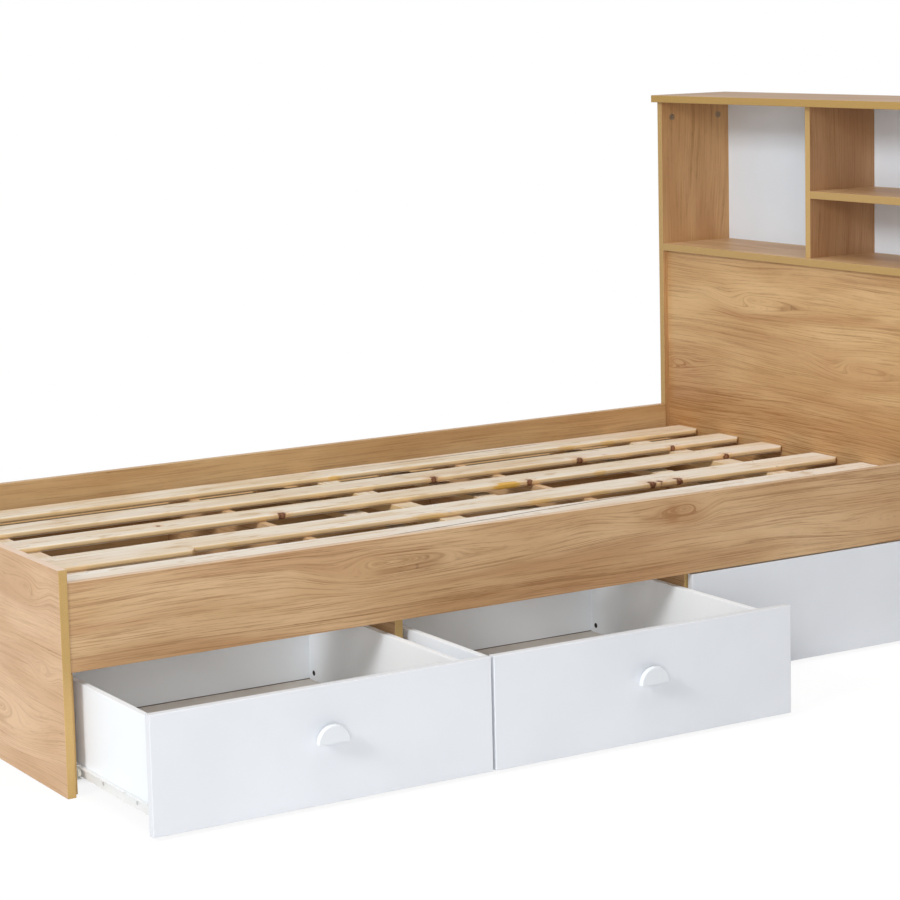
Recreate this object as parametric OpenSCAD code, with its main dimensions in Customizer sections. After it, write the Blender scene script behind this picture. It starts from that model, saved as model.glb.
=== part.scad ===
// Single bed with a bookcase headboard, a slatted base, and two drawers and a fixed front
// in one side.
// Origin: middle of the footboard's lower edge, on the floor. +X runs to the headboard,
// +Y to the side without drawers, +Z up. All sizes are in millimetres.

/* [Bed] */
// Clear length between the footboard and the headboard
inner_length = 1900; // [1880:5:1960]
// Clear width between the two rails
inner_width = 920; // [880:5:1000]
// Thickness of the bed's boards
panel = 16; // [15:0.5:18]
// Rounding of the boards' banded edges
edge_round = 1; // [0.5:0.1:2]
// Height of the footboard
footboard_height = 385; // [365:5:450]
// Height of the rails' lower edges above the floor
rail_bottom = 211; // [209:1:220]
// Height of a rail from its lower edge to its upper edge
rail_height = 151; // [140:1:170]
// Set-back of the rails from the ends of the footboard
rail_inset = 2; // [1:0.5:4]

/* [Slatted base] */
// Height of the slats' lower faces above the floor
slat_level = 304; // [300:1:312]
// Width of a slat
slat_width = 76; // [60:1:90]
// Thickness of a slat
slat_thickness = 12; // [10:1:20]
// Rounding of the slats' long edges
slat_round = 4; // [1:0.5:5]
// Rounding of the slats' corners, seen from above
slat_corner = 10; // [4:1:20]
// Even spacing of the slats' centre lines
slat_pitch = 156; // [140:1:160]
// Free space beyond each end of a slat
slat_end_gap = 1; // [0.5:0.5:8]
// Length of the broader foot end of the fourth slat, up to its wane
wane_length = 392; // [200:1:600]
// How much broader that end is
wane_width = 22; // [10:1:30]
// Width of the cross bearers and of the tie battens
bearer_width = 45; // [38:1:60]
// Height of a cross bearer
bearer_height = 20; // [18:1:26]
// Distance from the end boards to the centres of the outer bearers
bearer_end = 154; // [140:1:220]
// Thickness of a tie batten
batten_thickness = 12; // [8:1:16]
// Distance from the middle bearer to the tie batten on its foot side
foot_batten_gap = 105; // [80:1:140]
// Distance from the tie batten in the middle bay to the divider on its head side
middle_batten_gap = 124; // [90:1:150]
// Distance from the bearer at the head to the tie batten before it
head_batten_gap = 155; // [100:1:190]
// Width of the cleats under the bearers, away from the rail
cleat_width = 20; // [16:1:30]
// Height of the cleats
cleat_height = 30; // [20:1:36]

/* [Drawers] */
// Height of the drawer fronts' lower edges above the floor
front_bottom = 7; // [5:1:10]
// Height of a drawer front
front_height = 197; // [190:1:199]
// Gap between the two drawer fronts
front_gap = 5; // [3:0.5:7]
// Gap between the fronts and the end boards
front_end_gap = 2; // [1.5:0.5:3]
// Height of the fixed front beside the drawers
fixed_height = 201.5; // [195:0.5:203]
// Gap between the fixed front and the second drawer's front
fixed_gap = 3; // [2:0.5:5]
// Width and depth of the battens that hold the fixed front
batten_size = 20; // [16:1:30]
// Thickness of the packing board between the footboard and the first runner
packing = 10; // [8:0.5:12]
// Clear width of the bay that a drawer runs in
bay_width = 619; // [600:1:622]
// Height of the drawer sides' lower edges above the floor
box_bottom = 27; // [26:1:30]
// Height of a drawer side
box_height = 160; // [120:1:165]
// Depth of a drawer box behind its front
box_depth = 583; // [580:1:640]
// Thickness of the drawer sides and backs
side_thickness = 12; // [10:0.5:14]
// Thickness of a drawer's base
base_thickness = 4; // [3:0.5:5]
// Height of the base's lower face above the lower edge of the side
base_lift = 17; // [8:1:20]
// Depth of the grooves that hold the base
base_groove = 6; // [4:0.5:7]
// How far the first drawer stands open
drawer_1_open = 292; // [0:1:400]
// How far the second drawer stands open
drawer_2_open = 293; // [0:1:400]

/* [Knobs] */
// Radius of a half-round knob's plate
knob_radius = 30; // [24:1:34]
// Thickness of the plate
knob_plate = 8; // [6:0.5:10]
// Length of the neck behind the plate
knob_neck = 16; // [12:1:20]
// Radius of the half-round neck
knob_neck_radius = 17; // [14:1:20]
// Rounding of the plate's front rim
knob_rim = 2.5; // [1:0.5:2.5]
// Height of the knob's flat underside above the front's lower edge
knob_height = 106.5; // [90:0.5:130]
// Height of the knob screw above the knob's flat underside
screw_rise = 12; // [8:0.5:14]
// Diameter of the knob screw
screw_d = 4; // [3.5:0.5:5]

/* [Roller runners] */
// Free space beside a drawer box for its runners
runner_space = 12.5; // [12.5:0.1:13.5]
// Length of a runner
runner_length = 550; // [500:10:555]
// Thickness of the runners' steel
steel = 1.2; // [1:0.1:1.4]
// Radius of a roller
roller_radius = 10; // [9:0.5:10]
// Distance from a bay runner's front end to the middle of its front roller
front_roller_inset = 8.5; // [8:0.5:12]
// Distance from a drawer runner's rear end to the middle of its rear roller
rear_roller_inset = 12; // [11:0.5:20]
// Width of a roller's tread
roller_width = 6; // [5:0.5:6.5]
// Diameter of the pins that the rollers turn on
pin_d = 6; // [5:0.5:7]
// Running clearance between a pin and its roller, on the radius
pin_clearance = 0.05; // [0.03:0.01:0.1]
// Free height above and below a roller
roller_clearance = 0.3; // [0.2:0.05:0.5]
// Height of the rolling flange above the drawer side's lower edge
flange_rise = 19.5; // [19:0.5:22]
// Width of the lip that lies under the drawer side
lip_width = 10; // [6:0.5:12]
// Distance from the runner's front end to the short notch in its flange
notch_place = 106; // [60:1:200]
// Length of the notch
notch_length = 12; // [8:1:30]

/* [Bookcase headboard] */
// Depth of the headboard from front to back
head_depth = 200; // [180:5:260]
// Overall height of the headboard
head_height = 1067; // [1000:1:1150]
// How far the top board stands out at the front and the sides
top_overhang = 10; // [5:1:20]
// Height of the lower shelf's underside above the floor
shelf_level = 715; // [680:1:740]
// Clear height of the space under the middle shelf
low_space = 126; // [90:1:160]
// Offset of the upright divider from the middle, towards the drawer side
divider_offset = 36.5; // [0:0.5:100]
// Set-back of the divider, the middle shelf and the lower panel from the front edge
inner_setback = 12; // [6:1:20]
// Thickness of the white back panel
back_thickness = 3; // [2.5:0.5:4]
// Distance from the back panel to the rear edge
back_inset = 8; // [6:1:12]
// Depth of the grooves that hold the back panel
back_groove = 6; // [4:0.5:7]
// Diameter of the cam locks under the top board
cam_d = 15; // [12:0.5:18]
// Depth of the cam locks in the side boards
cam_depth = 12.5; // [10:0.5:12.5]
// Distance from the cam locks' centres to the ends of the side boards
cam_drop = 34; // [30:1:40]

/* [Hidden] */
$fn = 48;

drawer_count = 2;
slat_count = 6;
// Clearance of pieces that are pushed into grooves and bores
fit = 0.1;
// Air left behind an edge at the bottom of its groove
groove_air = 0.5;
// The slats lie loose: how far each is off its even place, from the far side
slat_shifts = [0, 6, 10, -13, -9, 0];
// How much broader than the others each slat is
slat_extras = [0, 0, 0, 8, 0, 0];
wane_slat = 4;

foot_out = -panel / 2;
foot_in = panel / 2;
head_front = foot_in + inner_length;
head_back = head_front + head_depth;
half_width = inner_width / 2 + panel + rail_inset;
rail_in = inner_width / 2;
rail_out = rail_in + panel;
rail_top = rail_bottom + rail_height;
front_face = -half_width;
bay_front = -rail_in;
side_in = half_width - panel;
head_panel_face = head_front + inner_setback;
divider_y = -divider_offset;

cleat_top = slat_level - bearer_height;
// Bearers and battens lie a little short of both long sides
cross_half = rail_in - 1;
middle_bearer_x = foot_in + inner_length / 2;
head_bearer_x = head_front - bearer_end;

drawer_pitch = bay_width + panel;
front_width = drawer_pitch - front_gap;
bay_half = bay_width / 2;
box_half = bay_half - runner_space;
// The fronts stand a little towards the foot of their bays
front_left = front_end_gap - packing - bay_half;
front_right = front_left + front_width;
front_middle = front_left + front_width / 2;
box_front = front_face + panel;
box_back = box_front + box_depth;
back_front = box_back - side_thickness;
base_bottom = box_bottom + base_lift;
base_edge = base_groove - groove_air;
drawer_open = [drawer_1_open, drawer_2_open];

knob_z = front_bottom + knob_height;
screw_z = knob_z + screw_rise;
screw_head_r = 4;
screw_head = 2.4;
// How far the screw reaches into the knob
screw_grip = 12;

// The runner on the drawer starts just behind the front
runner_front = box_front + 2;
channel_front = bay_front + 2;
channel_back = channel_front + runner_length;
// A flange on the drawer's runner rides on the front roller
flange_top = box_bottom + flange_rise;
flange_bottom = flange_top - steel;
lip_bottom = box_bottom - steel;
roller_z = flange_bottom - roller_clearance - roller_radius;
track_top = roller_z - roller_radius - roller_clearance;
channel_bottom = track_top - steel;
channel_top = flange_top + 0.5 + steel;
// How far the steel reaches across the space beside the drawer
channel_width = 9.5;
flange_start = 3;
// Front roller in the bay and rear roller on the drawer
front_roller_y = channel_front + front_roller_inset;
rear_roller_y = runner_front + runner_length - rear_roller_inset;
roller_bore = pin_d / 2 + pin_clearance;
hub_radius = 5;
hub_length = 7.5;
hub_gap = 0.3;
pin_head = 1;
bend = 2;

shelf_top = shelf_level + panel;
top_bottom = head_height - panel;
back_face = head_back - back_inset - back_thickness;
middle_level = shelf_top + low_space;
cam_inset = 29.5;
cam_places = [head_front + cam_inset, back_face - cam_inset];
cam_z = top_bottom - cam_drop;
bolt_r = 3.5;
bolt_tip_r = 2.5;
bolt_tip = 10;

oak = [0.74, 0.58, 0.41];
oak_pale = [0.82, 0.69, 0.55];
pine = [0.88, 0.76, 0.58];
white = [0.89, 0.90, 0.92];
board_grey = [0.78, 0.78, 0.78];
zinc = [0.62, 0.62, 0.62];
roller_white = [0.93, 0.93, 0.90];

// Middle of a drawer's bay, and of the divider at its head end
function bay_x(n) = foot_in + packing + bay_half + (n - 1) * drawer_pitch;
function divider_x(n) = bay_x(n) + drawer_pitch / 2;
function slat_y(n) = (slat_count + 1 - 2 * n) / 2 * slat_pitch + slat_shifts[n - 1];

// Outlines and directions

// A rectangle between two corners, with its corners rounded
module soft_rect(a0, b0, a1, b1, r) {
    translate([a0 + r, b0])
        square([a1 - a0 - 2 * r, b1 - b0]);
    translate([a0, b0 + r])
        square([a1 - a0, b1 - b0 - 2 * r]);
    for (a = [a0 + r, a1 - r], b = [b0 + r, b1 - r])
        translate([a, b])
            circle(r);
}

// Sweeps an outline drawn as (y, z) from x0 to x1
module along_x(x0, x1) {
    translate([x0, 0, 0])
        rotate([90, 0, 90])
            linear_extrude(x1 - x0)
                children();
}

// Sweeps an outline drawn as (x, z) from y0 to y1
module along_y(y0, y1) {
    translate([0, y1, 0])
        rotate([90, 0, 0])
            linear_extrude(y1 - y0)
                children();
}

// Sweeps an outline drawn as (x, y) from z0 to z1
module along_z(z0, z1) {
    translate([0, 0, z0])
        linear_extrude(z1 - z0)
            children();
}

// A plain block between two corners
module block(low, high) {
    translate(low)
        cube(high - low);
}

// End boards and rails

module footboard() {
    color(oak_pale)
        intersection() {
            along_z(0, footboard_height)
                soft_rect(foot_out, -half_width, foot_in, half_width, edge_round);
            along_y(-half_width, half_width)
                soft_rect(foot_out, 0, foot_in, footboard_height, edge_round);
        }
}

// The rail over the drawers
module near_rail() {
    color(oak)
        along_x(foot_in, head_front)
            soft_rect(-rail_out, rail_bottom, -rail_in, rail_top, edge_round);
}

// The other long side is closed by one board down to the floor
module far_side_board() {
    color(oak)
        along_x(foot_in, head_front)
            soft_rect(rail_in, 0, rail_out, rail_top, edge_round);
}

// Boards round the drawers

// An upright board at the head end of a bay, which also carries the slats
module bay_divider(n) {
    x = divider_x(n);
    color(oak)
        along_z(0, slat_level)
            soft_rect(x - panel / 2, bay_front, x + panel / 2, rail_in, edge_round);
}

// The board between the footboard and the first runner
module packing_board() {
    color(oak)
        block([foot_in, bay_front, 0], [foot_in + packing, box_back, rail_bottom - 6]);
}

// The space behind this front holds no drawer
module fixed_front() {
    x0 = bay_x(drawer_count) + front_right + fixed_gap;
    x1 = head_front - front_end_gap;
    top = front_bottom + fixed_height;
    color(white)
        intersection() {
            along_z(front_bottom, top)
                soft_rect(x0, front_face, x1, box_front, edge_round);
            along_x(x0, x1)
                soft_rect(front_face, front_bottom, box_front, top, edge_round);
        }
}

// Upright battens on the last divider and on the headboard, against the fixed front
module front_battens() {
    air = 10;
    for (x = [divider_x(drawer_count) + panel / 2, head_panel_face - batten_size])
        color(pine)
            along_z(front_bottom + air, front_bottom + fixed_height - air)
                soft_rect(x, box_front, x + batten_size, box_front + batten_size, 1);
}

// Slatted base

// One cleat in each bay, along the inner face of a long side
module cleats(low_y, high_y) {
    air = 1;
    starts = [foot_in, for (n = [1 : drawer_count]) divider_x(n) + panel / 2];
    ends = [for (n = [1 : drawer_count]) divider_x(n) - panel / 2, head_front];
    color(pine)
        for (i = [0 : drawer_count])
            along_x(starts[i] + air, ends[i] - air)
                soft_rect(low_y, cleat_top - cleat_height, high_y, cleat_top, 1);
}

module near_cleats() {
    cleats(-rail_in, -rail_in + cleat_width);
}

module far_cleats() {
    cleats(rail_in - cleat_width, rail_in);
}

// A bar across the bed, lying on the cleats
module cross_bar(x, height) {
    along_y(-cross_half, cross_half)
        soft_rect(x - bearer_width / 2, cleat_top, x + bearer_width / 2, cleat_top + height, 1);
}

module slat_bearers() {
    color(pine)
        for (x = [foot_in + bearer_end, middle_bearer_x, head_bearer_x])
            cross_bar(x, bearer_height);
}

module tie_battens() {
    color(pine)
        for (x = [middle_bearer_x - foot_batten_gap, divider_x(drawer_count) - middle_batten_gap,
                  head_bearer_x - head_batten_gap])
            cross_bar(x, batten_thickness);
}

// A length of slat between two corners, with all its long edges and upright corners rounded
module slat_length(x0, y0, x1, y1) {
    intersection() {
        along_x(x0, x1)
            soft_rect(y0, slat_level, y1, slat_level + slat_thickness, slat_round);
        along_z(slat_level, slat_level + slat_thickness)
            soft_rect(x0, y0, x1, y1, slat_corner);
    }
}

module slat(n) {
    half = (slat_width + slat_extras[n - 1]) / 2;
    x0 = foot_in + slat_end_gap;
    y0 = slat_y(n) - half;
    y1 = slat_y(n) + half;
    color(pine) {
        slat_length(x0, y0, head_panel_face - slat_end_gap, y1);
        if (n == wane_slat)
            slat_length(x0, y0 - wane_width, x0 + wane_length, y1);
    }
}

// Bookcase headboard

// The cam lock pockets of one side board and the bolt holes that meet them from above.
// inward is 1 where the board's inner face looks towards +Y, otherwise -1.
module cam_bores(face_y, inward) {
    for (x = cam_places) {
        translate([x, face_y, cam_z])
            rotate([90 * inward, 0, 0])
                cylinder(h = cam_depth, d = cam_d + 2 * fit);
        translate([x, face_y - inward * panel / 2, cam_z])
            cylinder(h = cam_drop + 1, r = bolt_r + fit);
    }
}

module headboard_side(low_y, inner_y, inward) {
    color(oak)
        difference() {
            along_z(0, top_bottom)
                soft_rect(head_front, low_y, head_back, low_y + panel, edge_round);
            back_slot(shelf_level - fit);
            cam_bores(inner_y, inward);
        }
}

module headboard_near_side() {
    headboard_side(-half_width, -side_in, 1);
}

module headboard_far_side() {
    headboard_side(side_in, side_in, -1);
}

// The groove that runs round the bookcase for the back panel
module back_slot(bottom) {
    block([back_face - fit, -side_in - back_groove, bottom],
          [back_face + back_thickness + fit, side_in + back_groove, top_bottom + back_groove]);
}

module headboard_top() {
    x0 = head_front - top_overhang;
    y = half_width + top_overhang;
    color(oak)
        difference() {
            intersection() {
                along_z(top_bottom, head_height)
                    soft_rect(x0, -y, head_back, y, edge_round);
                along_x(x0, head_back)
                    soft_rect(-y, top_bottom, y, head_height, edge_round);
                along_y(-y, y)
                    soft_rect(x0, top_bottom, head_back, head_height, edge_round);
            }
            back_slot(shelf_level);
            for (x = cam_places, side = [-1, 1])
                translate([x, side * (side_in + panel / 2), top_bottom - 1])
                    cylinder(h = bolt_tip + 1.5, r = bolt_tip_r + fit / 2);
        }
}

module shelf_board() {
    color(oak)
        along_y(-side_in, side_in)
            soft_rect(head_front, shelf_level, back_face, shelf_top, edge_round);
}

module bookcase_divider() {
    color(oak)
        along_z(shelf_top, top_bottom)
            soft_rect(head_front + inner_setback, divider_y - panel / 2,
                      back_face, divider_y + panel / 2, edge_round);
}

module middle_shelf() {
    color(oak)
        along_y(-side_in, divider_y - panel / 2)
            soft_rect(head_front + inner_setback, middle_level,
                      back_face, middle_level + panel, edge_round);
}

module back_panel() {
    y = side_in + back_groove - groove_air;
    color(white)
        block([back_face, -y, shelf_level], [back_face + back_thickness, y, top_bottom + back_groove - groove_air]);
}

module headboard_panel() {
    color(oak)
        block([head_panel_face, -side_in, 0], [head_panel_face + panel, side_in, shelf_level]);
}

// Cam locks in the side boards and their bolts in the top board
module cam_fittings() {
    color(zinc)
        for (x = cam_places, side = [-1, 1])
            translate([x, side * side_in, cam_z]) {
                difference() {
                    rotate([-90 * side, 0, 0])
                        cylinder(h = cam_depth - fit, d = cam_d);
                    translate([0, side * panel / 2, 0])
                        cylinder(h = cam_d, r = bolt_r + fit);
                    block([-5, -1.5, -0.8], [5, 1.5, 0.8]);
                    block([-0.8, -1.5, -5], [0.8, 1.5, 5]);
                }
                translate([0, side * panel / 2, 0]) {
                    cylinder(h = cam_drop, r = bolt_r);
                    cylinder(h = cam_drop + bolt_tip, r = bolt_tip_r);
                }
            }
}

// Drawers: each is drawn closed about the middle of its bay and then pulled out

module pulled(n) {
    translate([bay_x(n), -drawer_open[n - 1], 0])
        children();
}

// The space that a drawer's base needs in the boards round it
module base_slot() {
    block([-box_half + side_thickness - base_groove, box_front - base_groove, base_bottom],
          [box_half - side_thickness + base_groove, back_front + base_groove,
           base_bottom + base_thickness + fit]);
}

module drawer_front(n) {
    top = front_bottom + front_height;
    color(white)
        pulled(n)
            difference() {
                intersection() {
                    along_z(front_bottom, top)
                        soft_rect(front_left, front_face, front_right, box_front, edge_round);
                    along_x(front_left, front_right)
                        soft_rect(front_face, front_bottom, box_front, top, edge_round);
                }
                base_slot();
                translate([front_middle, box_front + 1, screw_z])
                    rotate([90, 0, 0])
                        cylinder(h = panel + 2, r = screw_d / 2 + 0.5);
            }
}

// side is -1 for the side nearer the footboard, 1 for the other
module drawer_side(n, side) {
    outer = side * box_half;
    inner = side * (box_half - side_thickness);
    color(white)
        pulled(n)
            difference() {
                along_y(box_front, box_back)
                    soft_rect(min(outer, inner), box_bottom, max(outer, inner),
                              box_bottom + box_height, edge_round);
                base_slot();
            }
}

module drawer_back(n) {
    half = box_half - side_thickness;
    color(board_grey)
        pulled(n)
            difference() {
                along_x(-half, half)
                    soft_rect(back_front, box_bottom, box_back, box_bottom + box_height, edge_round);
                base_slot();
            }
}

module drawer_base(n) {
    half = box_half - side_thickness + base_edge;
    color(board_grey)
        pulled(n)
            block([-half, box_front - base_edge, base_bottom],
                  [half, back_front + base_edge, base_bottom + base_thickness]);
}

// A turned knob with its lower half cut away
module drawer_knob(n) {
    reach = knob_neck + knob_plate;
    color(white)
        pulled(n)
            translate([front_middle, front_face, knob_z])
                difference() {
                    rotate([90, 0, 0])
                        rotate_extrude() {
                            square([knob_neck_radius, reach]);
                            translate([0, knob_neck])
                                square([knob_radius - knob_rim, knob_plate]);
                            translate([0, knob_neck])
                                square([knob_radius, knob_plate - knob_rim]);
                            translate([knob_radius - knob_rim, reach - knob_rim])
                                circle(knob_rim);
                        }
                    block([-knob_radius - 1, -reach - 1, -knob_radius - 1], [knob_radius + 1, 1, 0]);
                    translate([0, 1, screw_z - knob_z])
                        rotate([90, 0, 0])
                            cylinder(h = screw_grip + 2, r = screw_d / 2 + fit / 2);
                }
}

// The screw that holds the knob from inside the drawer
module drawer_knob_screw(n) {
    color(zinc)
        pulled(n)
            translate([front_middle, box_front, screw_z]) {
                rotate([90, 0, 0])
                    cylinder(h = panel + screw_grip, d = screw_d);
                rotate([-90, 0, 0])
                    difference() {
                        cylinder(h = screw_head, r = screw_head_r);
                        translate([0, 0, screw_head - 1])
                            block([-2.5, -0.4, 0], [2.5, 0.4, 2]);
                        translate([0, 0, screw_head - 1])
                            block([-0.4, -2.5, 0], [0.4, 2.5, 2]);
                    }
            }
}

// Roller runners: outlines are drawn for the runner at the foot end of a bay, with x
// measured from the face of the bay towards the drawer, and mirrored for the other

module runner_pair(n) {
    for (side = [-1, 1])
        translate([bay_x(n) + side * bay_half, 0, 0])
            mirror([side > 0 ? 1 : 0, 0, 0])
                children();
}

// A quarter ring of bent steel about a centre; turn picks the quarter
module bent_corner(x, z, turn) {
    translate([x, z])
        rotate(turn)
            difference() {
                intersection() {
                    circle(bend);
                    square(bend);
                }
                circle(bend - steel);
            }
}

// The steel channel that is fixed to the bay
module channel_outline() {
    translate([0, channel_bottom + bend])
        square([steel, channel_top - channel_bottom - 2 * bend]);
    translate([bend, channel_bottom])
        square([channel_width - bend, steel]);
    translate([bend, channel_top - steel])
        square([channel_width - bend, steel]);
    bent_corner(bend, channel_bottom + bend, 180);
    bent_corner(bend, channel_top - bend, 90);
}

// A riveted pin with its head at the open end of the roller
module roller_pin(from, to) {
    head = to > from ? 1 : -1;
    translate([min(from, to), 0, 0])
        rotate([0, 90, 0])
            cylinder(h = abs(to - from), d = pin_d);
    translate([min(to, to + head * pin_head), 0, 0])
        rotate([0, 90, 0])
            cylinder(h = pin_head, r = pin_d / 2 + 1.5);
}

module cabinet_runners(n) {
    color(white)
        runner_pair(n) {
            along_y(channel_front, channel_back)
                channel_outline();
            translate([0, front_roller_y, roller_z])
                roller_pin(steel, steel + hub_length + 2 * hub_gap);
        }
}

// The section that is fixed to the drawer side: a web against the side, a lip under it,
// and a rolling flange that stands out from the top of the web over the front roller
module section_outline() {
    web = runner_space;
    translate([web - steel, lip_bottom])
        square([steel, flange_top - bend - lip_bottom]);
    translate([web - steel, lip_bottom])
        square([steel + lip_width, steel]);
    translate([flange_start, flange_bottom])
        square([web - bend - flange_start, steel]);
    bent_corner(web - bend, flange_top - bend, 0);
}

module drawer_runners(n) {
    notch_y = runner_front + notch_place;
    translate([0, -drawer_open[n - 1], 0])
        color(white)
            runner_pair(n) {
                difference() {
                    along_y(runner_front, runner_front + runner_length)
                        section_outline();
                    block([flange_start - 1, notch_y, flange_bottom - 1],
                          [flange_start + 3, notch_y + notch_length, flange_top + 1]);
                }
                translate([0, rear_roller_y, roller_z])
                    roller_pin(runner_space - steel, runner_space - steel - hub_length - 2 * hub_gap);
            }
}

// A roller about its own middle: a hub and a tread with softened edges
module roller() {
    edge = 0.8;
    rotate([0, 90, 0])
        rotate_extrude()
            difference() {
                union() {
                    translate([0, -hub_length / 2])
                        square([hub_radius, hub_length]);
                    soft_rect(hub_radius - 2, -roller_width / 2, roller_radius, roller_width / 2, edge);
                }
                translate([0, -hub_length])
                    square([roller_bore, 2 * hub_length]);
            }
}

module cabinet_rollers(n) {
    color(roller_white)
        runner_pair(n)
            translate([steel + hub_gap + hub_length / 2, front_roller_y, roller_z])
                roller();
}

module drawer_rollers(n) {
    color(roller_white)
        translate([0, -drawer_open[n - 1], 0])
            runner_pair(n)
                translate([runner_space - steel - hub_gap - hub_length / 2, rear_roller_y, roller_z])
                    roller();
}

BOARDS = ["footboard", "near_rail", "far_side_board", "packing_board", "bay_divider_1",
          "bay_divider_2", "fixed_front", "front_battens"];
BASE = ["near_cleats", "far_cleats", "slat_bearers", "tie_battens",
        for (n = [1 : slat_count]) str("slat_", n)];
HEADBOARD = ["headboard_near_side", "headboard_far_side", "headboard_top", "shelf_board",
             "bookcase_divider", "middle_shelf", "back_panel", "headboard_panel", "cam_fittings"];
DRAWER_PARTS = ["front", "left_side", "right_side", "back", "base", "knob", "knob_screw",
                "runners", "rollers"];
DRAWERS = [for (n = [1 : drawer_count]) each [
    for (part = DRAWER_PARTS) str("drawer_", n, "_", part),
    str("cabinet_runners_", n),
    str("cabinet_rollers_", n)
]];

footboard();
near_rail();
far_side_board();
packing_board();
bay_divider(1);  // bay_divider_1
bay_divider(2);  // bay_divider_2
fixed_front();
front_battens();
near_cleats();
far_cleats();
slat_bearers();
tie_battens();
for (n = [1 : slat_count])
    slat(n);
headboard_near_side();
headboard_far_side();
headboard_top();
shelf_board();
bookcase_divider();
middle_shelf();
back_panel();
headboard_panel();
cam_fittings();
for (n = [1 : drawer_count]) {
    drawer_front(n);
    drawer_side(n, -1);
    drawer_side(n, 1);
    drawer_back(n);
    drawer_base(n);
    drawer_knob(n);
    drawer_knob_screw(n);
    drawer_runners(n);
    drawer_rollers(n);
    cabinet_runners(n);
    cabinet_rollers(n);
}
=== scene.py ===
"""Dresses a single bed with drawers and a bookcase headboard: wood figure, bands, nails, screws and stage."""

import math

import bmesh
import bpy
from bpy.props import FloatProperty, FloatVectorProperty, IntProperty, PointerProperty
from mathutils import Matrix, Vector


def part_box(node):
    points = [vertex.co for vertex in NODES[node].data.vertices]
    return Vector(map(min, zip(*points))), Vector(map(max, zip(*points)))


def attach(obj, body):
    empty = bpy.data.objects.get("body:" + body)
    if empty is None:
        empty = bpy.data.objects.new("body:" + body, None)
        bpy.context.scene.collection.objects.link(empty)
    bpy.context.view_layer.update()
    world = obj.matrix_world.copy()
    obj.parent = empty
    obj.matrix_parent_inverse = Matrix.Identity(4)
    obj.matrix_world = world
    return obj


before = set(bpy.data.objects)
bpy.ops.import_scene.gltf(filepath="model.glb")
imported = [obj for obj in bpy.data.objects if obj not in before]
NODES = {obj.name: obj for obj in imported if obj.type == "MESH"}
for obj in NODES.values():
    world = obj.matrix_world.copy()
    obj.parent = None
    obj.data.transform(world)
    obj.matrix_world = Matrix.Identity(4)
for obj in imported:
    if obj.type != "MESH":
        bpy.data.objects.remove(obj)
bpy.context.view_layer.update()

bl_info = {
    "name": "Single Bed Dresser",
    "version": (1, 0, 0),
    "blender": (4, 5, 0),
    "location": "3D View > Sidebar > Bed",
    "description": "Finishes a packed single bed with wood, white board, steel and small fixings",
    "category": "Object",
}

DRAWERS = (1, 2)
SLATS = (1, 2, 3, 4, 5, 6)
MM = 0.001

# Thickness of the runners' steel, and the outer face of a drawer runner's web from its flange's edge
STEEL = 0.0012
WEB_FACE = 0.0083

# Height of the open joint between a drawer's base and its back, up to which a painted shadow darkens the back
JOINT = 0.0016

# Distance of the outer runner screws from a runner's ends
SCREW_END = 0.08

# Place of the screw cups inside a drawer: in front of its back and over its base
CUP_FORWARD = 0.016
CUP_UP = 0.014

# Edges of small pieces that turn by more than this stay sharp
SMOOTH_ANGLE = math.radians(35)

# Half the width of a slat bearer, and how far a nail may stand off its line
BEARER_HALF = 0.0225
NAIL_DRIFT = 0.006

# How dark the floor can get round the bed, and in the bed's shade under the slats
SHADOW_DEPTH = 0.12
UNDER_DEPTH = 0.80

# Middle of the floor, its level without a shadow, and the distances from there over which it fades to white
FLOOR_MIDDLE = (1.0, 0.0, 0.0)
FLOOR_LEVEL = 1.02
FLOOR_FADE = (1.3, 2.6)

# Directions in the bed
X, Y, Z = (1, 0, 0), (0, 1, 0), (0, 0, 1)

# Growth rings per metre in the oak look and in the pine, and how far a knot pushes them aside
OAK_RINGS = 230.0
PINE_RINGS = 120.0
KNOT_PUSH = 0.014


def srgb(r, g, b):
    """A colour written as screen values from 0 to 255, in scene-linear light."""

    def linear(c):
        c = c / 255
        return c / 12.92 if c <= 0.04045 else ((c + 0.055) / 1.055) ** 2.4

    return (linear(r), linear(g), linear(b))


# Second colours of the oak look
OAK_STREAK = srgb(176, 126, 84)
OAK_SHADE = srgb(168, 116, 72)
OAK_PORE = srgb(112, 74, 42)
# Cream of upward faces: a painted sheen
OAK_PAINTED_SHEEN = srgb(230, 208, 184)
BAND_SPECK = srgb(176, 138, 78)

# Second colours of the pine
PINE_CLOUD = srgb(238, 216, 184)
PINE_PINK = srgb(238, 216, 200)
PINE_PALE = srgb(255, 250, 244)
PINE_FIBRE = srgb(204, 164, 116)
PINE_WORN = srgb(206, 170, 126)
# Painted shade at the foot of the slats' sides
PINE_PAINTED_SHADE = srgb(146, 100, 52)
# Painted shade of the cleats and front battens under the slats
PINE_CLEAT_SHADE = srgb(140, 98, 62)
PINE_TONE = (0.91, 0.92, 0.93)
KNOT_HALO = srgb(214, 164, 112)
KNOT_CORE = srgb(158, 112, 84)
RESIN = srgb(222, 172, 66)
CRACK = srgb(84, 60, 44)

# Metals, and the painted shadow of an open joint
ZINC = srgb(188, 188, 186)
CAM_ZINC = srgb(176, 156, 132)
DARK_STEEL = srgb(74, 70, 68)
JOINT_PAINTED_SHADE = srgb(92, 74, 62)

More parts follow.
